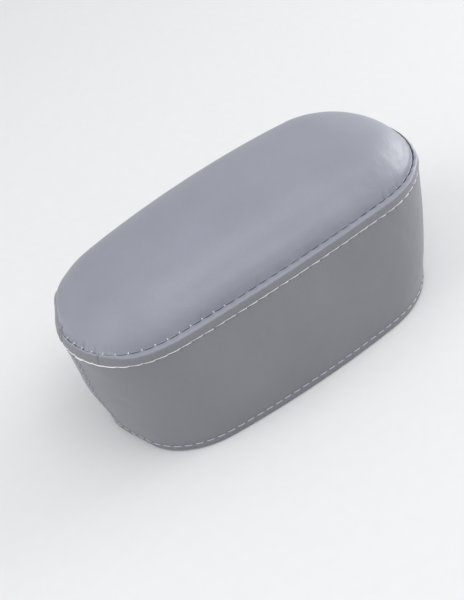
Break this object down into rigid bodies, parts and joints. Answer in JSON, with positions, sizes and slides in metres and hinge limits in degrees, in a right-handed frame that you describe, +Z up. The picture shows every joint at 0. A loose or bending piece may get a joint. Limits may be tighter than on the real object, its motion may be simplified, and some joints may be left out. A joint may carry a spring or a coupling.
{
  "type": "armrest pad",
  "caption": "Tall upholstered armrest pad with a rounded oval plan, a crowned top panel, a sewn boxing strip and a bolt-on plywood base.",
  "frame": {"origin": "centre of the underside, where the pad sits on the chair's arm", "axes": "+X from the blunt nose end to the rear end along the length, +Y across, +Z up through the crown"},
  "size_m": [0.2422, 0.1212, 0.1119],
  "materials": {
    "plywood": "sanded birch plywood",
    "zinc_steel": "bright zinc plate",
    "firm_foam": "open-cell polyurethane foam",
    "soft_foam": "open-cell polyurethane foam",
    "wadding": "bonded polyester wadding",
    "top_leather": "satin, very fine grain",
    "side_leather": "satin, very fine grain",
    "seam_tape": "woven tape",
    "card": "grey-brown card",
    "staple_wire": "galvanised wire",
    "non_woven": "black spun-bonded sheet",
    "pale_thread": "bonded nylon thread",
    "hem_thread": "bonded nylon thread"
  },
  "bodies": {
    "root": {"base_board": "plywood", "tee_nuts": "zinc_steel", "foam_core": "firm_foam", "foam_topper": "soft_foam", "top_wadding": "wadding", "side_wadding": "wadding", "top_cover": "top_leather", "side_cover": "side_leather", "seam_tape": "seam_tape", "tack_strip": "card", "cover_staples": "staple_wire", "dust_cover": "non_woven", "dust_cover_staples": "staple_wire", "seam_thread": "pale_thread", "topstitch_thread": "pale_thread", "hem_thread": "hem_thread", "nose_seam_thread": "hem_thread"}
  },
  "joints": []
}
